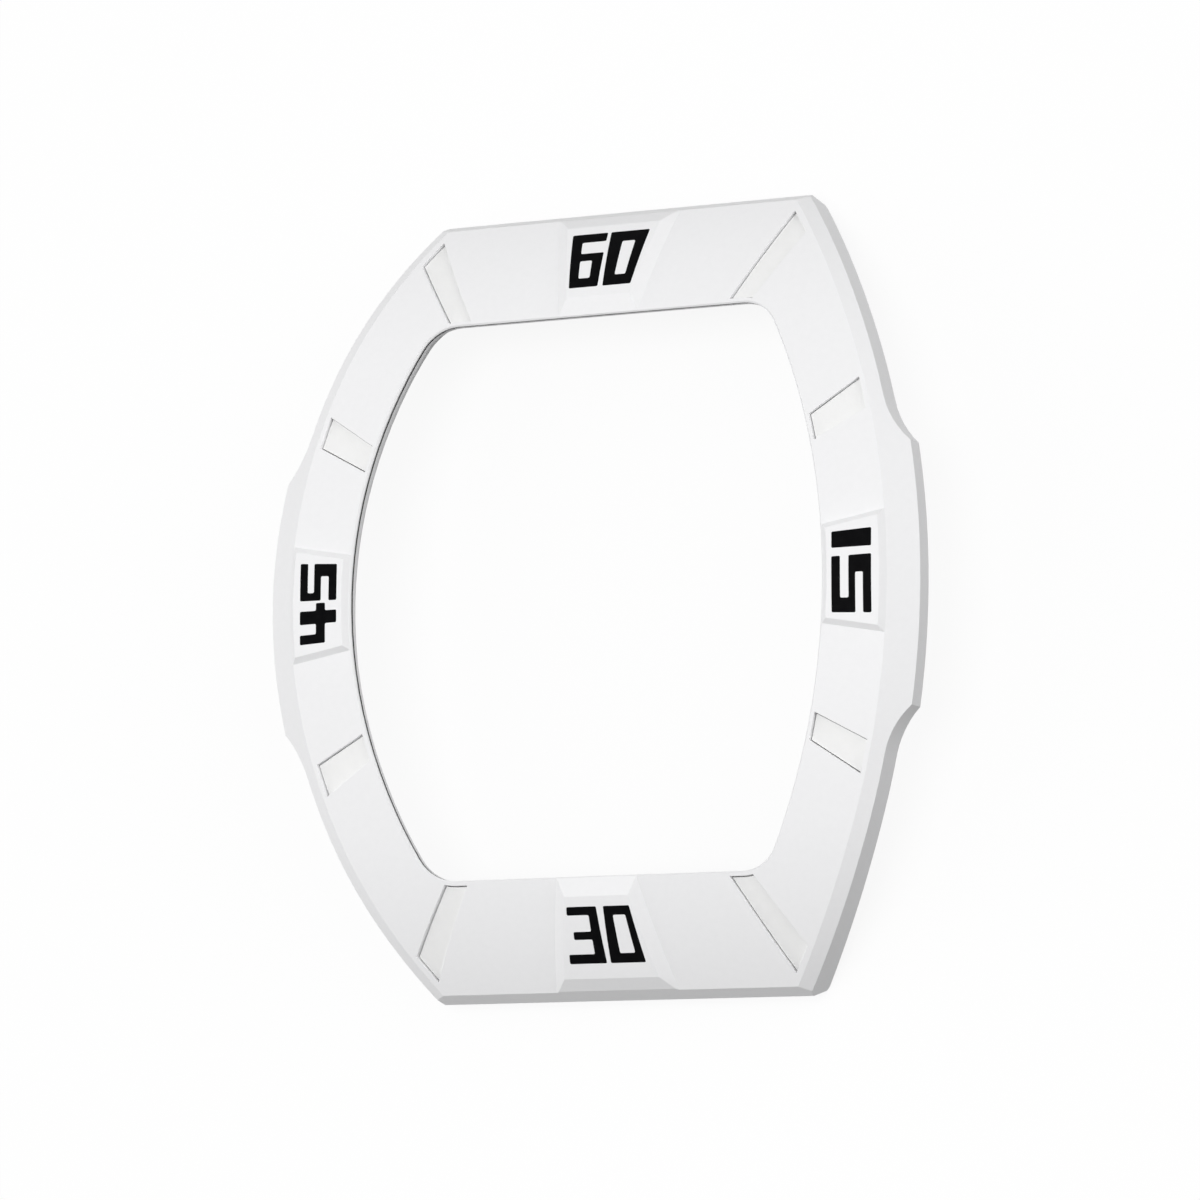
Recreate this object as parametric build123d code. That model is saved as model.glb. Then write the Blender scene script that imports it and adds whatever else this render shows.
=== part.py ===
from build123d import *
import os
from math import asin, cos, radians, sin, sqrt

# A barrel-shaped watch bezel: a bowed white plate with inlaid numbers, hour marks, a gasket and fixings.
# Millimetres. It lies face up on the two narrow lands of its back, +Y is twelve o'clock, +X is three
# o'clock and +Z points out of the face. The origin is on the lands' plane, under the middle.

# The bow of the face, from twelve to six o'clock
bow_radius = 66.8           # middle of the bow
end_bow_lead = 2.95         # how far before the opening's end the bow tightens
end_bow_radius = 29.5       # from there to both ends
plate_thickness = 2.25

# The outline of the plate, seen from the front
field_side_reach = 19.65    # middle to the crease at three o'clock
field_side_radius = 39.1    # the crease's arc
field_end_reach = 23.76     # middle to the crease at twelve o'clock
rim_width = 0.78            # side facet outside the crease
guard_width = 1.75          # the same facet at the crown guards
guard_drop = 0.92           # how far it falls over that width
guard_half_length = 7.81
guard_blend_length = 2.77   # hollow between a guard's corner and the rim
nose_reach = 0.49           # sharp line round each end, outside the crease
nose_depth = 1.25           # that line under the crease
nose_return = 0.4           # how far the end draws in again to the land
land_depth = 2.62           # the lands under the crease at twelve and six o'clock
nose_edge_radius = 0.2
land_edge_radius = 0.12

# The opening and the seat for the crystal behind it
side_rail_width = 4.1       # from the crease to the opening at three o'clock
opening_side_radius = 34.0
end_rail_width = 6.71       # from the crease to the opening at twelve o'clock
opening_corner_radius = 2.5
opening_edge_break = 0.1
lip_thickness = 0.65
crystal_seat_width = 0.8

# The gasket and its groove in the back
groove_inset = 1.3          # from the opening's edge
groove_width = 0.7
groove_depth = 0.55
gasket_stand = 0.15         # proud of the back

# The raised pads under the numbers
pad_margin = 0.12           # from a pad to the opening's edge
pad_sink = 0.02             # how far the bevels run on under the face
end_pad_height = 0.42
end_pad_inner_half_width = 2.63
end_pad_outer_half_width = 4.06
end_pad_side_bevel = 0.77
end_pad_outer_bevel = 0.86
end_pad_inner_bevel = 1.15
side_pad_height = 0.34
side_pad_inner_half_width = 2.93
side_pad_outer_half_width = 3.68
side_pad_side_bevel = 0.33
side_pad_outer_bevel = 0.34
side_pad_inner_bevel = 0.33

# The hour marks, each between two lines that fan out from a point on the middle line
mark_margin = 0.3           # from a mark to the crease and to the opening
mark_recess = 0.25          # fill's face under the plate's
mark_fill_depth = 0.35
corner_fan_offset = 2.0
corner_fan_angles = (29.4, 33.6)
side_fan_offset = 0
side_fan_angles = (56.2, 61.55)

# The numbers, engraved in the pads and filled
number_depth = 0.3
number_corner_radius = 0.09
number_inner_inset = 1.8    # from the opening to the numbers at twelve and six o'clock
sixty_outer_inset = 1.26    # from the crease to the far end of the number
thirty_outer_inset = 1.6
number_inner_width = 4.12
sixty_outer_width = 5.18
thirty_outer_width = 5.02
side_number_inner_inset = 0.76
side_number_outer_inset = 0.83
side_number_inner_width = 4.76
side_number_outer_width = 5.03

# The threaded bushes, bonded into blind bores
bush_end_offset = 2.15      # inside the opening's reach at twelve o'clock
bush_cover = 0.7            # plate left over a bush
bush_radius = 1.1
bush_length = 1.05
bush_bore_radius = 0.625
bush_bore_depth = 0.85
bush_bore_break = 0.12
bush_ring_width = 0.3
bush_ring_depth = 0.12
bond_gap = 0.02

# The locating pins, bonded into the guards
pin_inset = 0.35            # inside the crease
pin_root_radius = 0.8
pin_root_length = 1.1
pin_radius = 0.5
pin_free_length = 1.5
pin_tip_break = 0.12

overrun = 3.0               # how far a cut runs past what it cuts

# The strokes of each digit as shares of its box: left, right, foot and head
one_shares = [(0, 1, 0, 1)]
three_shares = [(0, 1, 0.85, 1), (0.18, 1, 0.42, 0.56), (0, 1, 0, 0.165), (0.715, 1, 0, 1)]
four_shares = [(0, 1, 0.31, 0.56), (0, 0.23, 0.31, 1), (0.485, 0.81, 0, 1)]
wide_five_shares = [(0, 1, 0, 0.22), (0, 1, 0.43, 0.6), (0, 1, 0.79, 1), (0, 0.3, 0.43, 1),
                    (0.74, 1, 0, 0.6)]
slim_five_shares = [(0, 1, 0, 0.22), (0, 1, 0.43, 0.62), (0, 1, 0.79, 1), (0, 0.21, 0.43, 1),
                    (0.66, 1, 0, 0.62)]
six_shares = [(0, 1, 0.84, 1), (0, 0.31, 0, 1), (0, 1, 0.49, 0.63), (0, 1, 0, 0.17), (0.68, 1, 0, 0.63)]
wide_zero_shares = [(0, 1, 0.81, 1), (0, 1, 0, 0.19), (0, 0.36, 0, 1), (0.71, 1, 0, 1)]
slim_zero_shares = [(0, 1, 0.84, 1), (0, 1, 0, 0.17), (0, 0.325, 0, 1), (0.77, 1, 0, 1)]

# Where the opening ends, and each number's reach, width and height over the face
opening_side_reach = field_side_reach - side_rail_width
opening_end_reach = field_end_reach - end_rail_width
bow_break = opening_end_reach - end_bow_lead
number_inner_reach = opening_end_reach + number_inner_inset
sixty = (number_inner_reach, field_end_reach - sixty_outer_inset, number_inner_width, sixty_outer_width,
         end_pad_height)
thirty = (number_inner_reach, field_end_reach - thirty_outer_inset, number_inner_width, thirty_outer_width,
          end_pad_height)
side_number = (opening_side_reach + side_number_inner_inset, field_side_reach - side_number_outer_inset,
               side_number_inner_width, side_number_outer_width, side_pad_height)

# Each digit: its number, the hour it stands at, its strokes, and its left and right edges as shares of the
# number's width, first at the end near the opening and then at the far end
digit_shares = {
    "numeral_60_six": (sixty, 12, six_shares, (0, 0.467), (0, 0.459)),
    "numeral_60_zero": (sixty, 12, wide_zero_shares, (0.545, 1), (0.5, 1)),
    "numeral_15_one": (side_number, 3, one_shares, (0, 0.203), (0, 0.216)),
    "numeral_15_five": (side_number, 3, wide_five_shares, (0.307, 1), (0.308, 1)),
    "numeral_30_three": (thirty, 6, three_shares, (0, 0.473), (0, 0.49)),
    "numeral_30_zero": (thirty, 6, slim_zero_shares, (0.585, 1), (0.54, 1)),
    "numeral_45_four": (side_number, 9, four_shares, (0, 0.506), (0, 0.506)),
    "numeral_45_five": (side_number, 9, slim_five_shares, (0.533, 1), (0.537, 1)),
}

# Sizes that follow from the ones above
side_centre = field_side_reach - field_side_radius
plan_reach = field_side_reach + guard_width + overrun
break_angle = asin(bow_break / bow_radius)
end_centre_y = (bow_radius - end_bow_radius) * sin(break_angle)
end_centre_z = land_depth - sqrt(end_bow_radius ** 2 - (field_end_reach - end_centre_y) ** 2)
end_angle = asin((field_end_reach + overrun - end_centre_y) / end_bow_radius)
crown_height = end_centre_z + bow_radius - (bow_radius - end_bow_radius) * cos(break_angle)
bush_y = opening_end_reach - bush_end_offset
groove_radius = opening_side_radius + groove_inset + groove_width
groove_x = opening_side_reach - opening_side_radius + sqrt(groove_radius ** 2 - bush_y ** 2)
rim_x = side_centre + sqrt((field_side_radius + rim_width) ** 2 - bush_y ** 2)
bush_x = (groove_x + rim_x) / 2
pin_reach = field_side_reach - pin_inset


def bow_point(angle, depth):
    """The point, in Y and Z, where the bow's normal leans by this angle, this deep under the face."""
    if abs(angle) <= break_angle:
        radius = bow_radius - depth
        return radius * sin(angle), crown_height - bow_radius + radius * cos(angle)
    radius = end_bow_radius - depth
    centre_y = end_centre_y if angle > 0 else -end_centre_y
    return centre_y + radius * sin(angle), end_centre_z + radius * cos(angle)


def under_bow(depth):
    """Everything under the bowed surface that lies this deep under the face."""
    corners = [bow_point(angle, depth) for angle in (-end_angle, -break_angle, break_angle, end_angle)]
    end_middle = (break_angle + end_angle) / 2
    middles = [bow_point(angle, depth) for angle in (-end_middle, 0, end_middle)]
    arcs = [ThreePointArc(corners[i], middles[i], corners[i + 1]) for i in range(len(middles))]
    base = Polyline(corners[-1], (corners[-1][0], -overrun), (corners[0][0], -overrun), corners[0])
    return extrude(Plane.YZ * make_face(arcs + [base]), amount=plan_reach, both=True)


def upright(sketch):
    """A plan outline as a block that runs past the plate both ways."""
    return Pos(0, 0, -overrun) * extrude(sketch, amount=crown_height + 2 * overrun, dir=(0, 0, 1))


def barrel(side_reach, side_radius, end_reach):
    """A plan outline with arcs at three and nine o'clock and straight ends."""
    outline = Rectangle(2 * plan_reach, 2 * end_reach)
    outline &= Pos(side_reach - side_radius, 0) * Circle(side_radius)
    outline &= Pos(side_radius - side_reach, 0) * Circle(side_radius)
    return outline


def opening_outline(outset):
    """The opening's outline, that much further out."""
    outline = barrel(opening_side_reach + outset, opening_side_radius + outset, opening_end_reach + outset)
    return fillet(outline.vertices(), opening_corner_radius + outset)


def in_all_quarters(shape):
    """A shape of the first quarter with its three mirror images."""
    pair = [shape, mirror(shape, Plane.YZ)]
    return pair + [mirror(one, Plane.XZ) for one in pair]


# The plate

def faceted_block():
    """The bowed plate as wide as the guards, with the side facets along it."""
    block = under_bow(0) & upright(barrel(field_side_reach + guard_width, field_side_radius + guard_width,
                                          field_end_reach + overrun))
    for side in (-1, 1):
        sides = [face for face in block.faces() if face.center().X * side > field_side_reach / 2
                 and abs(face.normal_at().Z) < abs(face.normal_at().X)]
        wall = sides[0]
        tops = [edge for edge in wall.edges() if edge.center().Z > 0 and edge.length > overrun
                and abs(edge.tangent_at(0).Z) < abs(edge.tangent_at(0).Y)]
        block = chamfer(tops, guard_drop, guard_width, reference=wall)
    return block


def pad(outline, out, height, side_bevel, outer_bevel, inner_bevel):
    """A raised pad: a block up to a higher bow, with a bevel along each of its four sides."""
    block = upright(outline) & under_bow(-height)
    run = (height + pad_sink) / height
    for first, last, bevel in ((3, 4, outer_bevel), (0, 1, inner_bevel), (1, 3, side_bevel)):
        top = block.faces().filter_by(lambda face: face.normal_at().Z > 0).sort_by(SortBy.AREA)[-1]
        edges = top.edges().sort_by(out)[first:last]
        block = chamfer(edges, bevel * run, height + pad_sink, reference=top)
    return block


def end_pad():
    """The pad at twelve o'clock."""
    spread = pad_sink / end_pad_height
    inner = opening_end_reach + pad_margin - end_pad_inner_bevel * spread
    outer = field_end_reach + end_pad_outer_bevel * spread
    inner_half = end_pad_inner_half_width + end_pad_side_bevel * spread
    outer_half = end_pad_outer_half_width + end_pad_side_bevel * spread
    outline = Polygon((-inner_half, inner), (inner_half, inner), (outer_half, outer), (-outer_half, outer),
                      align=None)
    return pad(outline, Axis.Y, end_pad_height, end_pad_side_bevel, end_pad_outer_bevel, end_pad_inner_bevel)


def side_pad():
    """The pad at three o'clock, between the arcs of the opening and the crease."""
    spread = pad_sink / side_pad_height
    inner_half = side_pad_inner_half_width + side_pad_side_bevel * spread
    outer_half = side_pad_outer_half_width + side_pad_side_bevel * spread
    slope = (outer_half - inner_half) / (field_side_reach - opening_side_reach)
    near, far = opening_side_reach - overrun, field_side_reach + overrun
    near_half, far_half = inner_half - slope * overrun, outer_half + slope * overrun
    outline = Polygon((near, -near_half), (far, -far_half), (far, far_half), (near, near_half), align=None)
    outline &= Pos(side_centre, 0) * Circle(field_side_radius + side_pad_outer_bevel * spread)
    outline -= Pos(opening_side_reach - opening_side_radius, 0) * Circle(
        opening_side_radius + pad_margin - side_pad_inner_bevel * spread)
    return pad(outline, Axis.X, side_pad_height, side_pad_side_bevel, side_pad_outer_bevel, side_pad_inner_bevel)


def guard_outline():
    """One crown guard: an arc beside the side's own, hollowed into the rim at both ends."""
    rim_radius = field_side_radius + rim_width
    guard_radius = field_side_radius + guard_width
    foot_y = guard_half_length + guard_blend_length
    foot_x = side_centre + sqrt(rim_radius ** 2 - foot_y ** 2)
    corner_x = side_centre + sqrt(guard_radius ** 2 - guard_half_length ** 2)
    hollow = TangentArc((foot_x, foot_y), (corner_x, guard_half_length),
                        tangent=(foot_y, side_centre - foot_x))
    crest = ThreePointArc((corner_x, guard_half_length), (side_centre + guard_radius, 0),
                          (corner_x, -guard_half_length))
    back = Polyline((foot_x, foot_y), (opening_side_reach, foot_y), (opening_side_reach, -foot_y),
                    (foot_x, -foot_y))
    return make_face([hollow, crest, mirror(hollow, Plane.XZ), back])


def plate_outline():
    """The plate in plan, its ends left long."""
    guard = guard_outline()
    rim = barrel(field_side_reach + rim_width, field_side_radius + rim_width, field_end_reach + overrun)
    return rim + guard + mirror(guard, Plane.YZ)


def end_shape():
    """The plate from the side: each end leans out to its sharp line and draws in again to the land."""
    lean = nose_reach / nose_depth
    high = (field_end_reach - lean * crown_height, land_depth + crown_height)
    sharp = (field_end_reach + nose_reach, land_depth - nose_depth)
    land = (sharp[0] - nose_return, 0)
    half = [high, sharp, land]
    ring = half + [(-y, z) for y, z in reversed(half)]
    profile = make_face(Polyline(*ring, close=True))
    profile = fillet(profile.vertices().group_by(Axis.Y)[0], land_edge_radius)
    profile = fillet([corner for corner in profile.vertices() if abs(corner.Y - sharp[1]) < nose_edge_radius],
                     nose_edge_radius)
    return extrude(Plane.YZ * profile, amount=plan_reach, both=True)


def back_hollow():
    """What the back of the plate is hollowed by: the bow of the back, the crystal's seat and the groove."""
    seat = upright(opening_outline(crystal_seat_width)) & under_bow(lip_thickness)
    ring = opening_outline(groove_inset + groove_width) - opening_outline(groove_inset)
    groove = upright(ring) & under_bow(plate_thickness - groove_depth)
    return [under_bow(plate_thickness), seat, groove]


def bezel_plate():
    """The plate with its pads, pockets and bores."""
    plate = faceted_block() - upright(opening_outline(0))
    rim = [edge for edge in plate.edges() if abs(edge.center().X) < opening_side_reach + pad_margin
           and abs(edge.center().Y) < opening_end_reach + pad_margin and edge.center().Z > land_depth
           and abs(edge.tangent_at(0).Z) < abs(cos(end_angle))]
    plate = chamfer(rim, opening_edge_break)
    top, side = end_pad(), side_pad()
    plate += [top, mirror(top, Plane.XZ), side, mirror(side, Plane.YZ)]
    plate &= upright(plate_outline())
    plate &= end_shape()
    plate -= back_hollow()
    for outline, floor in pockets():
        plate -= upright(outline) - under_bow(floor)
    plate -= [Pos(x, y, 0) * bush_bore() for x in (-bush_x, bush_x) for y in (-bush_y, bush_y)]
    plate -= [Pos(x, 0, 0) * pin_bore() for x in (-pin_reach, pin_reach)]
    return plate


def pockets():
    """Every pocket in the face, as its outline in plan and its floor's depth under the face."""
    marks = [(outline, mark_recess + mark_fill_depth) for outline in mark_outlines().values()]
    digits = [(digit_outline(*shares), number_depth - shares[0][-1]) for shares in digit_shares.values()]
    return marks + digits


# The hour marks

def mark_outline(fan_offset, fan_angles):
    """A mark in the first quarter, between two lines of a fan."""
    reach = field_end_reach + plan_reach
    tips = [(reach * sin(radians(angle)), fan_offset + reach * cos(radians(angle))) for angle in fan_angles]
    fan = Polygon((0, fan_offset), *tips, align=None)
    field = barrel(field_side_reach - mark_margin, field_side_radius - mark_margin, field_end_reach)
    return fan & field - opening_outline(mark_margin)


def mark_outlines():
    """The outline of each mark, by its node's name."""
    corner = in_all_quarters(mark_outline(corner_fan_offset, corner_fan_angles))
    side = in_all_quarters(mark_outline(side_fan_offset, side_fan_angles))
    hours = [1, 11, 5, 7, 2, 10, 4, 8]
    return {f"hour_marker_{hour}": outline for hour, outline in zip(hours, corner + side)}


# The numbers

def digit_outline(number, hour, strokes, near, far):
    """A digit in plan: its strokes in a box that widens outwards, turned to its hour."""
    inner_reach, outer_reach, inner_width, outer_width, _ = number
    near_left, near_right = [(share - 1 / 2) * inner_width for share in near]
    far_left, far_right = [(share - 1 / 2) * outer_width for share in far]

    def point(across, up):
        out = 1 - up if hour == 6 else up
        near_x = near_left + across * (near_right - near_left)
        far_x = far_left + across * (far_right - far_left)
        return near_x + out * (far_x - near_x), inner_reach + out * (outer_reach - inner_reach)

    bars = []
    for left, right, foot, head in strokes:
        bars.append(Polygon(point(left, foot), point(right, foot), point(right, head), point(left, head),
                            align=None))
    digit = Sketch() + bars
    digit = fillet(digit.vertices(), number_corner_radius)
    if hour == 6:
        return mirror(digit, Plane.XZ)
    return Rot(0, 0, {12: 0, 3: -90, 9: 90}[hour]) * digit


# The pieces that the plate carries

def inlay(outline, top, bottom):
    """A fill between two depths under the face."""
    return upright(outline) & under_bow(top) - under_bow(bottom)


def case_gasket():
    """The rubber ring in the groove, a little proud of the back."""
    ring = opening_outline(groove_inset + groove_width) - opening_outline(groove_inset)
    return inlay(ring, plate_thickness - groove_depth, plate_thickness + gasket_stand)


def bush_top():
    """Height of the bushes' upper ends: the cover under the face at their outer edge."""
    y = bush_y + bush_radius
    return end_centre_z + sqrt(end_bow_radius ** 2 - (y - end_centre_y) ** 2) - bush_cover


def bush_bore():
    """The blind bore for a bush, up to a bond's gap over it."""
    depth = bush_top() + bond_gap
    return Cylinder(bush_radius + bond_gap, depth, align=(Align.CENTER, Align.CENTER, Align.MIN))


def threaded_bush():
    """A bush with a ring cut for the bond and a blind bore from below."""
    bottom = bush_top() - bush_length
    upward = (Align.CENTER, Align.CENTER, Align.MIN)
    bush = Pos(0, 0, bottom) * Cylinder(bush_radius, bush_length, align=upward)
    ring_bottom = bottom + (bush_length - bush_ring_width) / 2
    ring = Cylinder(bush_radius + overrun, bush_ring_width, align=upward)
    ring -= Cylinder(bush_radius - bush_ring_depth, bush_ring_width, align=upward)
    bush -= Pos(0, 0, ring_bottom) * ring
    bush -= Pos(0, 0, bottom) * Cylinder(bush_bore_radius, bush_bore_depth, align=upward)
    mouth = bush.edges().filter_by(GeomType.CIRCLE).group_by(Axis.Z)[0].sort_by(SortBy.RADIUS)[0]
    return chamfer(mouth, bush_bore_break)


def pin_bore():
    """The blind bore for a pin's root."""
    depth = crown_height - plate_thickness + pin_root_length + bond_gap
    return Cylinder(pin_root_radius + bond_gap, depth, align=(Align.CENTER, Align.CENTER, Align.MIN))


def locating_pin():
    """A pin with a thicker root that ends level with the back and a free end below it."""
    back = crown_height - plate_thickness
    root = Pos(0, 0, back) * Cylinder(pin_root_radius, pin_root_length,
                                      align=(Align.CENTER, Align.CENTER, Align.MIN))
    free = Pos(0, 0, back) * Cylinder(pin_radius, pin_free_length,
                                      align=(Align.CENTER, Align.CENTER, Align.MAX))
    pin = root + free
    tip = pin.edges().sort_by(Axis.Z)[0]
    return chamfer(tip, pin_tip_break)


def pieces():
    """Every piece by its node's name."""
    named = {"bezel_plate": bezel_plate(), "case_gasket": case_gasket()}
    for node, outline in mark_outlines().items():
        named[node] = inlay(outline, mark_recess, mark_recess + mark_fill_depth)
    for node, shares in digit_shares.items():
        height = shares[0][-1]
        named[node] = inlay(digit_outline(*shares), -height, number_depth - height)
    bush = threaded_bush()
    corners = {1: (bush_x, bush_y), 5: (bush_x, -bush_y), 7: (-bush_x, -bush_y), 11: (-bush_x, bush_y)}
    for hour, (x, y) in corners.items():
        named[f"threaded_bush_{hour}"] = Pos(x, y, 0) * bush
    pin = locating_pin()
    for hour, x in ((3, pin_reach), (9, -pin_reach)):
        named[f"locating_pin_{hour}"] = Pos(x, 0, 0) * pin
    return named


os.makedirs("parts", exist_ok=True)
for node, piece in pieces().items():
    export_step(piece, f"parts/{node}.step")
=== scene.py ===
from math import cos, hypot, radians, sqrt

import bmesh
import bpy
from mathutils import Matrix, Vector


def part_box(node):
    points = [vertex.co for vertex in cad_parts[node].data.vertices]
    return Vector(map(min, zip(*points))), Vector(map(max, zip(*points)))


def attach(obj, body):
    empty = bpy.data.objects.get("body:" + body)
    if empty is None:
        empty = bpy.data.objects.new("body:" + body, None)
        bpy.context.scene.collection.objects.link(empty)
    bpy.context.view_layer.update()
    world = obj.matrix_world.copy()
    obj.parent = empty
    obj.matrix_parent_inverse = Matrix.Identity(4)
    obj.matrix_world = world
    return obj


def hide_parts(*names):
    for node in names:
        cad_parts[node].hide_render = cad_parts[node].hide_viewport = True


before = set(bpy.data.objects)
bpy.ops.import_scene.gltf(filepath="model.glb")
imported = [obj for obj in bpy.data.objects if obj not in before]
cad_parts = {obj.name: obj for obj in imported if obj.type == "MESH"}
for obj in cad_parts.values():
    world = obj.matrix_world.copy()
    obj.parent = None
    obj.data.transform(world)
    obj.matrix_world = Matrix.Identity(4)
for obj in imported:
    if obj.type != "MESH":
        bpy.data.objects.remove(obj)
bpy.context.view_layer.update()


# The camera looks at the face from in front, a little from the right and from below, through a long
# lens, as the photograph was taken. The bezel lies on a large pale sheet with the sky all round it.
film_width = 36             # millimetres, as the lens's length is
lens_length = 156.8565
nearest_view = 0.01
camera_place = (0.1313666, -0.0435003, 0.2882965)
camera_turns = (7.957974, 24.880024, 0.20301)       # degrees about X, Y and Z
camera_lens = bpy.data.cameras.new("camera")
camera_lens.sensor_width = film_width
camera_lens.lens = lens_length
camera_lens.clip_start = nearest_view
camera = bpy.data.objects.new("camera", camera_lens)
camera.location = camera_place
camera.rotation_euler = [radians(turn) for turn in camera_turns]
bpy.context.scene.collection.objects.link(camera)
bpy.context.scene.camera = camera
bpy.context.scene.view_settings.view_transform = "Standard"


def join(tree, source, target):
    """Links one node's output to another's input, each given as the node and the socket's name."""
    tree.links.new(source[0].outputs[source[1]], target[0].inputs[target[1]])


def reckoned(tree, operation, *terms):
    """A sum on numbers and on other nodes' outputs, given back as a node and its output."""
    node = tree.nodes.new("ShaderNodeMath")
    node.operation = operation
    for place, term in enumerate(terms):
        if isinstance(term, tuple):
            join(tree, term, (node, place))
        else:
            node.inputs[place].default_value = term
    return node, 0


def seen_directly(tree):
    """1 for rays from the camera, or that show in metal and glass, and 0 for light on the object."""
    path = tree.nodes.new("ShaderNodeLightPath")
    seen = reckoned(tree, "MAXIMUM", (path, "Is Camera Ray"), (path, "Is Glossy Ray"))
    return reckoned(tree, "MAXIMUM", seen, (path, "Is Transmission Ray"))


def plain(tree, kind, level):
    """A shader of one even grey, from 0 to 1."""
    shader = tree.nodes.new(kind)
    shader.inputs["Color"].default_value = (level, level, level, 1)
    return shader


def mixed(tree, first, second):
    """A mix of two shaders, whose share of the second one is set or joined afterwards."""
    mix = tree.nodes.new("ShaderNodeMixShader")
    join(tree, (first, 0), (mix, 1))
    join(tree, (second, 0), (mix, 2))
    return mix


# The sky's light comes from both sides, and more of it from high up than from low down
turn_of_sides = 0.226       # how far the bright sides lie off three and nine o'clock
side_strength = 2.2
twelve_strength = 0.246     # added towards twelve o'clock, and taken off towards six
dark_strength = 0.775       # taken off everywhere, so that the sky between the sides is dark
height_strength = 0.769
sky = bpy.data.worlds.new("studio_tent")
sky.use_nodes = True
bpy.context.scene.world = sky
sky_tree = sky.node_tree
sky_tree.nodes.clear()
direction = sky_tree.nodes.new("ShaderNodeTexCoord")
compass = sky_tree.nodes.new("ShaderNodeSeparateXYZ")
join(sky_tree, (direction, "Generated"), (compass, 0))
sideways = reckoned(sky_tree, "MULTIPLY_ADD", (compass, "Y"), turn_of_sides, (compass, "X"))
from_sides = reckoned(sky_tree, "ABSOLUTE", sideways)
from_ends = reckoned(sky_tree, "MULTIPLY_ADD", (compass, "Y"), twelve_strength, -dark_strength)
all_round = reckoned(sky_tree, "MULTIPLY_ADD", from_sides, side_strength, from_ends)
lit_part = reckoned(sky_tree, "MAXIMUM", all_round, 0)
higher_up = reckoned(sky_tree, "MULTIPLY_ADD", (compass, "Z"), height_strength, 1)
tent = plain(sky_tree, "ShaderNodeBackground", 1)
join(sky_tree, reckoned(sky_tree, "MULTIPLY", lit_part, higher_up), (tent, "Strength"))
either_sky = mixed(sky_tree, tent, plain(sky_tree, "ShaderNodeBackground", 1))
join(sky_tree, seen_directly(sky_tree), (either_sky, 0))
sky_out = sky_tree.nodes.new("ShaderNodeOutputWorld")
join(sky_tree, (either_sky, 0), (sky_out, "Surface"))

# One round lamp hangs over the bezel and faces it
lamp_place = Vector((0.017, 0.005, 0.6))
lamp_width = 0.4
lamp_watts = 1.99
lamp_light = bpy.data.lights.new("top_light", "AREA")
lamp_light.shape = "DISK"
lamp_light.size = lamp_width
lamp_light.energy = lamp_watts
lamp = bpy.data.objects.new("top_light", lamp_light)
lamp.location = lamp_place
lamp.rotation_euler = lamp_place.to_track_quat("Z", "Y").to_euler()
bpy.context.scene.collection.objects.link(lamp)

# The sheet shows white to the camera, and throws only a little light back on the bezel
sheet_half_width = 3
sheet_throw = 0.1
sheet_white = 0.95
sheet_evenness = 0.9        # how much of its white takes no shadow
floor_mesh = bmesh.new()
bmesh.ops.create_grid(floor_mesh, x_segments=1, y_segments=1, size=sheet_half_width)
floor_data = bpy.data.meshes.new("floor")
floor_mesh.to_mesh(floor_data)
floor_mesh.free()
floor = bpy.data.objects.new("floor", floor_data)
bpy.context.scene.collection.objects.link(floor)
paper = bpy.data.materials.new("paper")
paper.use_nodes = True
paper_tree = paper.node_tree
paper_tree.nodes.clear()
page = mixed(paper_tree, plain(paper_tree, "ShaderNodeBsdfDiffuse", sheet_white),
             plain(paper_tree, "ShaderNodeEmission", 1))
page.inputs[0].default_value = sheet_evenness
either_page = mixed(paper_tree, plain(paper_tree, "ShaderNodeBsdfDiffuse", sheet_throw), page)
join(paper_tree, seen_directly(paper_tree), (either_page, 0))
paper_out = paper_tree.nodes.new("ShaderNodeOutputMaterial")
join(paper_tree, (either_page, 0), (paper_out, "Surface"))
floor_data.materials.append(paper)


# The plate is one piece of white ceramic, pressed, fired and ground, then polished to an even satin
# gloss. Its body is dense and white all through, with a very fine grain in the polish.
noise_low, noise_high = 0.3, 0.7    # between these lies nearly all of a cloudy pattern
polish_detail = 3
pore_detail = 2


def clouds(tree, place, grain, detail):
    """A cloudy pattern in the piece's own space, with so many grains to the metre."""
    noise = tree.nodes.new("ShaderNodeTexNoise")
    noise.inputs["Scale"].default_value = grain
    noise.inputs["Detail"].default_value = detail
    join(tree, (place, "Object"), (noise, "Vector"))
    return noise


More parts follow.
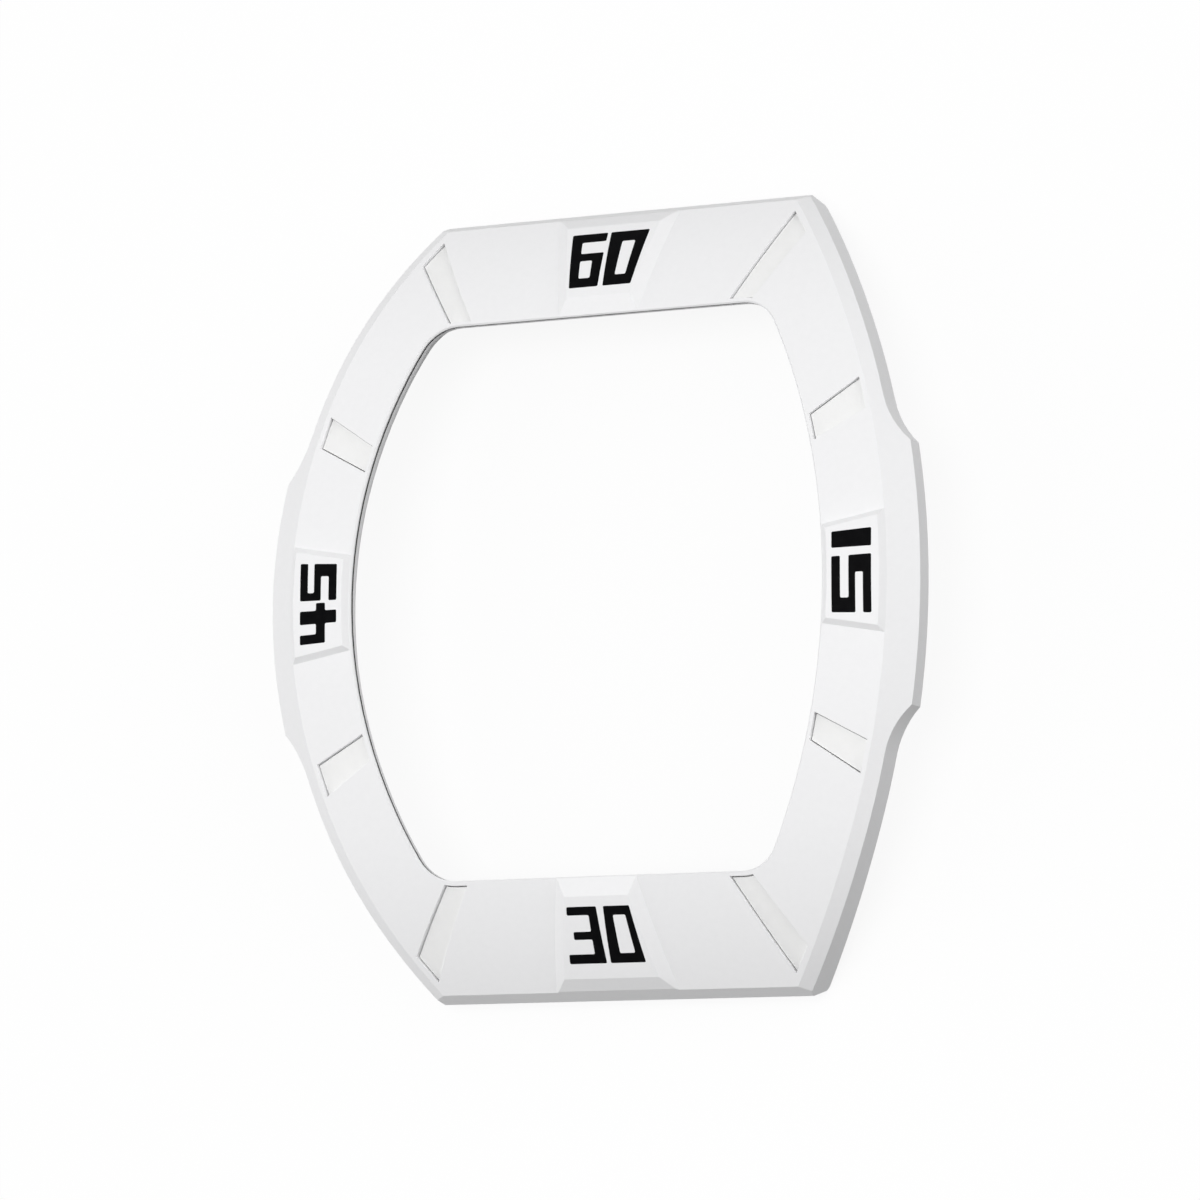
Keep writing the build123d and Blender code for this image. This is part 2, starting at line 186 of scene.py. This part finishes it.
def finish(name, tones, grain, detail, roughness, polish_grain, pore_grain, pore_depth,
           shine=0.4, metallic=0):
    """A material whose tone, gloss and surface vary on a fine grain."""
    material = bpy.data.materials.new(name)
    material.use_nodes = True
    tree = material.node_tree
    tree.nodes.clear()
    place = tree.nodes.new("ShaderNodeTexCoord")
    tone = tree.nodes.new("ShaderNodeValToRGB")
    for end, position, colour in zip(tone.color_ramp.elements, (noise_low, noise_high), tones):
        end.position = position
        end.color = (*colour, 1)
    join(tree, (clouds(tree, place, grain, detail), "Fac"), (tone, "Fac"))
    gloss = tree.nodes.new("ShaderNodeMapRange")
    gloss.inputs["From Min"].default_value = noise_low
    gloss.inputs["From Max"].default_value = noise_high
    gloss.inputs["To Min"].default_value = roughness[0]
    gloss.inputs["To Max"].default_value = roughness[1]
    join(tree, (clouds(tree, place, polish_grain, polish_detail), "Fac"), (gloss, "Value"))
    relief = tree.nodes.new("ShaderNodeBump")
    relief.inputs["Strength"].default_value = 1
    relief.inputs["Distance"].default_value = pore_depth
    join(tree, (clouds(tree, place, pore_grain, pore_detail), "Fac"), (relief, "Height"))
    surface = tree.nodes.new("ShaderNodeBsdfPrincipled")
    surface.inputs["Metallic"].default_value = metallic
    surface.inputs["Specular IOR Level"].default_value = shine
    join(tree, (tone, "Color"), (surface, "Base Color"))
    join(tree, (gloss, "Result"), (surface, "Roughness"))
    join(tree, (relief, "Normal"), (surface, "Normal"))
    out = tree.nodes.new("ShaderNodeOutputMaterial")
    join(tree, (surface, "BSDF"), (out, "Surface"))
    return material


white_ceramic = finish("white_ceramic", tones=((0.866, 0.866, 0.874), (0.878, 0.878, 0.886)), grain=2600,
                       detail=4, roughness=(0.3, 0.38), polish_grain=5000, pore_grain=9000,
                       pore_depth=0.0000004, shine=0.3)

shortest_edge = 0.000018    # corners that are nearer than this become one
sliver_width = 0.0000002


def merged_copy(node, flatness=0.05):
    """A CAD node's mesh as a bmesh, its triangles joined, its flat faces whole and no edge too short."""
    copy = bmesh.new()
    copy.from_mesh(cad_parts[node].data)
    bmesh.ops.remove_doubles(copy, verts=copy.verts, dist=shortest_edge)
    bmesh.ops.dissolve_degenerate(copy, edges=copy.edges, dist=sliver_width)
    bmesh.ops.dissolve_limit(copy, angle_limit=radians(flatness), use_dissolve_boundaries=False,
                             verts=copy.verts, edges=copy.edges, delimit=set())
    return copy


crown_height = 0.0081036    # the face's middle over the floor
bow_radius = 0.0668         # middle of the bow
bow_break = 0.0141          # how far from the middle the bow tightens
end_bow_radius = 0.0295     # from there to both ends
lean_at_break = bow_break / bow_radius
bow_centre_height = crown_height - bow_radius
end_bow_centre = ((bow_radius - end_bow_radius) * lean_at_break,
                  bow_centre_height + (bow_radius - end_bow_radius) * sqrt(1 - lean_at_break ** 2))


def bow_normal(point):
    """Straight up from the bowed face, or from a surface that runs level with it."""
    side = 1 if point.y > 0 else -1
    middle = Vector((0, point.y, point.z - bow_centre_height)).normalized()
    if abs(middle.y) <= lean_at_break:
        return middle
    return Vector((0, point.y - side * end_bow_centre[0], point.z - end_bow_centre[1])).normalized()


level_with_bow = cos(radians(4))    # a surface that leans off the bow by less runs level with it


def keep(shape, name, material, nodes, soft_angle=12):
    """A finished bmesh becomes a piece in place of its CAD nodes, shaded as a true curved surface is."""
    shape.normal_update()
    for face in shape.faces:
        face.smooth = True
    for edge in shape.edges:
        edge.smooth = edge.calc_face_angle() < radians(soft_angle)
    data = bpy.data.meshes.new(name)
    shape.to_mesh(data)
    shape.free()
    piece = bpy.data.objects.new(name, data)
    bpy.context.scene.collection.objects.link(piece)
    even = piece.modifiers.new("even_shading", "WEIGHTED_NORMAL")
    even.keep_sharp = True
    shaded = bpy.data.meshes.new_from_object(piece.evaluated_get(bpy.context.evaluated_depsgraph_get()))
    piece.modifiers.clear()
    piece.data = shaded
    bpy.data.meshes.remove(data)
    shaded.name = name
    normals = [corner.vector.copy() for corner in shaded.corner_normals]
    for face in shaded.polygons:
        if face.normal.dot(bow_normal(face.center)) > level_with_bow:
            for loop in face.loop_indices:
                normals[loop] = bow_normal(shaded.vertices[shaded.loops[loop].vertex_index].co)
    shaded.normals_split_custom_set(normals)
    shaded.materials.append(material)
    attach(piece, "root")
    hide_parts(*nodes)


opening_side = 0.01555      # from the middle to the opening at three o'clock
opening_end = 0.01705       # and at twelve o'clock
opening_arc_radius = 0.034
opening_arc_centre = opening_side - opening_arc_radius
opening_edge_margin = 0.0002
lip_thickness = 0.00065
wall_margin = 0.00002
number_boxes = [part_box(name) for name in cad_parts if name.startswith("numeral")]
number_margin = 0.00004


def at_opening(point, margin):
    """Whether a point of the plate is on the opening's wall, or no more than a margin behind it."""
    across = hypot(abs(point.x) - opening_arc_centre, point.y) - opening_arc_radius
    return across < margin and abs(point.y) - opening_end < margin


def left_sharp(point):
    """Whether a point is on a digit's pocket, or on the opening's edge, which is broken already."""
    for low, high in number_boxes:
        if all(low[i] - number_margin < point[i] < high[i] + number_margin for i in (0, 1)):
            return True
    return at_opening(point, opening_edge_margin)


def depth_under_face(point):
    """How far a point lies under the bowed face."""
    if abs(bow_normal(point).y) <= lean_at_break:
        return bow_radius - hypot(point.y, point.z - bow_centre_height)
    return end_bow_radius - hypot(abs(point.y) - end_bow_centre[0], point.z - end_bow_centre[1])


def drawn_on(shape, row, inwards, path):
    """Draws an open edge on along a path of drops and set-backs, and gives the edge that this ends in."""
    for drop, back in path:
        band = bmesh.ops.extrude_edge_only(shape, edges=row)["geom"]
        moved = {}
        for vert in band:
            if isinstance(vert, bmesh.types.BMVert):
                inward = inwards[tuple(vert.co)]
                vert.co -= inward * back + Vector((0, 0, drop))
                moved[tuple(vert.co)] = inward
        inwards = moved
        row = [edge for edge in band if isinstance(edge, bmesh.types.BMEdge)
               and all(tuple(vert.co) in inwards for vert in edge.verts)]
    return row, inwards


def rounded(shape, edges, radius, segments):
    """Rounds a shape's edges over."""
    bmesh.ops.bevel(shape, geom=edges, offset=radius, offset_type="OFFSET", segments=segments, profile=0.5,
                    affect="EDGES", clamp_overlap=False, material=-1)


# The wall of the lip is made anew with a groove in it, from its upper edge down to its foot
groove_below_edge = 0.0001
groove_height = 0.00018
groove_depth = 0.0002       # less than the wall between the opening and the hour marks' pockets
upright = 0.05              # the most that an upright wall's normal rises or falls
plate = merged_copy("bezel_plate")
plate.normal_update()
lip_wall = [face for face in plate.faces if abs(face.normal.z) < upright
            and at_opening(face.calc_center_median(), wall_margin)
            and depth_under_face(face.calc_center_median()) < lip_thickness]
wall_normals = {}
for face in lip_wall:
    for vert in face.verts:
        wall_normals[vert] = wall_normals.get(vert, Vector()) + face.normal * face.calc_area()
bmesh.ops.delete(plate, geom=lip_wall, context="FACES")
lip_edge = [edge for edge in plate.edges if edge.is_boundary
            and max(depth_under_face(vert.co) for vert in edge.verts) < lip_thickness / 2]
wall_foot = [edge for edge in plate.edges if edge.is_boundary and edge not in lip_edge]
inwards = {tuple(vert.co): wall_normals[vert].normalized() for edge in lip_edge for vert in edge.verts}
mouth, inwards = drawn_on(plate, lip_edge, inwards, [(groove_below_edge, 0)])
shade_ring = plate.copy()         # the painted shade ring is made further down, and starts from the groove's upper edge
groove_path = [(0, groove_depth), (groove_height, 0), (0, -groove_depth)]
groove_foot = drawn_on(plate, mouth, inwards, groove_path)[0]
bmesh.ops.bridge_loops(plate, edges=groove_foot + wall_foot)
bmesh.ops.recalc_face_normals(plate, faces=plate.faces)
plate.normal_update()

# The outer and upper edges are broken, as grinding leaves them
plate_edge_radius = 0.000025
edge_segments = 2
ground_angle = radians(35)
rims = [edge for edge in plate.edges if edge.is_convex and edge.calc_face_angle() > ground_angle
        and not all(left_sharp(vert.co) for vert in edge.verts)
        and max(face.normal.z for face in edge.link_faces) > upright]
rounded(plate, rims, plate_edge_radius, edge_segments)
keep(plate, "white_plate", white_ceramic, ["bezel_plate"])


# Each hour mark is a white resin fill, bonded into a pocket ground into the face. It is set a quarter of
# a millimetre down, a little duller than the ceramic, and has shrunk from the walls by a hair as it cured.
corner_angle = radians(60)
nearly_upright = 0.2


def with_soft_rim(fill, radius):
    """A fill with the edge round its upper face rounded over."""
    fill.normal_update()
    rim = [edge for edge in fill.edges if edge.calc_face_angle() > corner_angle
           and max(face.normal.dot(bow_normal(face.calc_center_median())) for face in edge.link_faces)
           > level_with_bow]
    rounded(fill, rim, radius, edge_segments)
    return fill


def shrunk(fill, gap):
    """Draws a fill's upright walls in, so that a fine seam is left round it."""
    fill.normal_update()
    moves = []
    for vert in fill.verts:
        walls = [face.normal for face in vert.link_faces if abs(face.normal.z) < nearly_upright]
        inward = -sum(walls, Vector()).normalized()
        moves.append(inward * gap / min(-wall.dot(inward) for wall in walls))
    for vert, move in zip(fill.verts, moves):
        vert.co += move
    return fill


def with_level_moved(fill, side, height):
    """Moves a fill's upper face, side 1, or its lower one, side -1, up by a height square to the bow."""
    fill.normal_update()
    level = {vert for face in fill.faces for vert in face.verts
             if side * face.normal.dot(bow_normal(face.calc_center_median())) > level_with_bow}
    for vert in level:
        vert.co.z += height / bow_normal(vert.co).z
    return fill


white_fill = finish("white_fill", tones=((0.86, 0.86, 0.855), (0.88, 0.88, 0.875)), grain=1500, detail=4,
                    roughness=(0.42, 0.5), polish_grain=4000, pore_grain=6000, pore_depth=0.0000008)
marked_hours = (1, 2, 4, 5, 7, 8, 10, 11)
mark_rim_radius = 0.00002
seam_width = 0.000045
mark_height = 0.00035
# how thick the layer of black under each mark is, which is painted shade in the seam
shade_layer_height = 0.00016
for hour in marked_hours:
    mark = shrunk(merged_copy(f"hour_marker_{hour}"), seam_width)
    mark = with_soft_rim(with_level_moved(mark, -1, shade_layer_height), mark_rim_radius)
    keep(mark, f"hour_mark_{hour}", white_fill, [f"hour_marker_{hour}"])


# Each digit is black enamel, run into a pocket of its pad, fired and polished flush with it. The
# polish leaves the enamel's own edge very slightly rounded.
black_enamel = finish("black_enamel", tones=((0.002, 0.002, 0.0025), (0.004, 0.004, 0.0045)), grain=2000,
                      detail=3, roughness=(0.3, 0.4), polish_grain=3000, pore_grain=4000,
                      pore_depth=0.0000006, shine=0.02)
digit_rim_radius = 0.000015
for digit in ("60_six", "60_zero", "15_one", "15_five", "30_three", "30_zero", "45_four", "45_five"):
    enamel = with_soft_rim(merged_copy(f"numeral_{digit}"), digit_rim_radius)
    keep(enamel, f"digit_{digit}", black_enamel, [f"numeral_{digit}"])


# The gasket is a moulded ring of black rubber, pressed into a groove in the back. All four of its long
# edges are rounded, and it stands a little proud so that the case squeezes it.
# This black also serves below as painted shade, in the groove of the opening's wall and under the hour
# marks.
black_rubber = finish("black_rubber", tones=((0.022, 0.022, 0.023), (0.03, 0.03, 0.031)), grain=2500,
                      detail=4, roughness=(0.6, 0.75), polish_grain=3000, pore_grain=7000,
                      pore_depth=0.000002)
gasket_flatness = 1.5
gasket_edge_radius = 0.00015
gasket_edge_segments = 4
gasket_soft_angle = 40
gasket = merged_copy("case_gasket", gasket_flatness)
gasket.normal_update()
long_edges = [edge for edge in gasket.edges if edge.calc_face_angle() > corner_angle]
rounded(gasket, long_edges, gasket_edge_radius, gasket_edge_segments)
keep(gasket, "rubber_ring", black_rubber, ["case_gasket"], gasket_soft_angle)


# A fine ring of the same black fills the groove in the opening's wall. It is painted shade: black put where
# the groove's shadow falls, so that the groove shows there as a dark line.
shade_ring_clearance = 0.000005
shade_ring_depth = 0.00017
shade_ring_height = groove_height - 2 * shade_ring_clearance
bmesh.ops.delete(shade_ring, geom=[vert for vert in shade_ring.verts if tuple(vert.co) not in inwards], context="VERTS")
groove_edge = list(shade_ring.verts)
front, inwards = drawn_on(shade_ring, list(shade_ring.edges), inwards, [(shade_ring_clearance, shade_ring_clearance)])
bmesh.ops.delete(shade_ring, geom=groove_edge, context="VERTS")
back = drawn_on(shade_ring, front, inwards, [(0, shade_ring_depth), (shade_ring_height, 0), (0, -shade_ring_depth)])[0]
bmesh.ops.bridge_loops(shade_ring, edges=front + back)
bmesh.ops.recalc_face_normals(shade_ring, faces=shade_ring.faces)
keep(shade_ring, "painted_shade_ring", black_rubber, [])


# Under each hour mark a layer of black fills its pocket's floor from wall to wall. It is painted shade: it
# shows in the seam round the mark as a fine dark line, where the seam's shadow falls.
for hour in marked_hours:
    shade_layer = with_level_moved(merged_copy(f"hour_marker_{hour}"), 1, shade_layer_height - mark_height)
    keep(shade_layer, f"mark_painted_shade_{hour}", black_rubber, [])


# The bushes are turned from nickel silver, threaded inside and bonded into blind bores in the back. A
# ring is cut round each for the bond to grip, and the thread starts behind a wide chamfer.
turned_facets = 72
same_place = 0.0000005
no_length = 0.0000001


def turned(outline, node):
    """A round piece where a node is, turned to an outline of radius and height above the node's foot."""
    shape = bmesh.new()
    points = [shape.verts.new((radius, 0, height)) for radius, height in outline]
    lines = [shape.edges.new(pair) for pair in zip(points, points[1:])]
    bmesh.ops.spin(shape, geom=points + lines, axis=(0, 0, 1), cent=(0, 0, 0), dvec=(0, 0, 0),
                   angle=radians(360), steps=turned_facets, use_merge=True)
    bmesh.ops.remove_doubles(shape, verts=shape.verts, dist=same_place)
    bmesh.ops.dissolve_degenerate(shape, edges=shape.edges, dist=no_length)
    bmesh.ops.recalc_face_normals(shape, faces=shape.faces)
    low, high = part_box(node)
    foot = ((low.x + high.x) / 2, (low.y + high.y) / 2, low.z)
    bmesh.ops.translate(shape, verts=shape.verts, vec=foot)
    return shape


bush_metal = finish("bush_metal", tones=((0.605, 0.585, 0.565), (0.635, 0.615, 0.595)), grain=9000, detail=3,
                    roughness=(0.3, 0.36), polish_grain=12000, pore_grain=20000, pore_depth=0.0000004,
                    shine=0.5, metallic=1)
bush_radius = 0.0011
bush_length = 0.00105
bush_edge_break = 0.00004
grip_radius = 0.00098
grip_foot = 0.000375
grip_head = 0.000675
bore_radius = 0.000625
bore_depth = 0.00082
mouth_radius = 0.00076
mouth_depth = 0.00012
thread_radius = 0.00073
thread_start = 0.00016
thread_pitch = 0.00018
thread_flank = 0.00007
thread_root = 0.00002
thread_turns = 3
bush_outline = [(0, bush_length), (bush_radius - bush_edge_break, bush_length),
                (bush_radius, bush_length - bush_edge_break), (bush_radius, grip_head),
                (grip_radius, grip_head), (grip_radius, grip_foot), (bush_radius, grip_foot),
                (bush_radius, bush_edge_break), (bush_radius - bush_edge_break, 0), (mouth_radius, 0),
                (bore_radius, mouth_depth)]
for turn in range(thread_turns):
    start = thread_start + turn * thread_pitch
    bush_outline += [(bore_radius, start), (thread_radius, start + thread_flank),
                     (thread_radius, start + thread_flank + thread_root),
                     (bore_radius, start + 2 * thread_flank + thread_root)]
drill_tip = [(0.0006, 0.00085), (0, 0.0009)]
bush_outline += [(bore_radius, bore_depth)] + drill_tip
for hour in (1, 5, 7, 11):
    bush = turned(bush_outline, f"threaded_bush_{hour}")
    keep(bush, f"bush_{hour}", bush_metal, [f"threaded_bush_{hour}"])


# The two locating pins are ground steel with a thicker root bonded into the guards. The free end has
# an undercut beside the root, and a rounded tip with the small centre that it was ground on.
pin_steel = finish("pin_steel", tones=((0.685, 0.685, 0.695), (0.715, 0.715, 0.725)), grain=9000, detail=3,
                   roughness=(0.25, 0.31), polish_grain=12000, pore_grain=20000, pore_depth=0.0000004,
                   shine=0.5, metallic=1)
root_radius = 0.0008
pin_length = 0.0026
free_length = 0.0015
pin_radius = 0.0005
pin_root = [(0, pin_length), (0.00075, pin_length), (root_radius, 0.00255), (root_radius, 0.00154),
            (0.00076, free_length)]
undercut = [(0.00046, free_length), (0.00044, 0.00146), (0.00044, 0.0014), (pin_radius, 0.00134)]
rounded_tip = [(pin_radius, 0.00016), (0.00048, 0.0001), (0.00043, 0.00005), (0.00036, 0.00001),
               (0.00032, 0)]
ground_centre = [(0.0001, 0), (0, 0.00008)]
for hour in (3, 9):
    pin = turned(pin_root + undercut + rounded_tip + ground_centre, f"locating_pin_{hour}")
    keep(pin, f"pin_{hour}", pin_steel, [f"locating_pin_{hour}"])
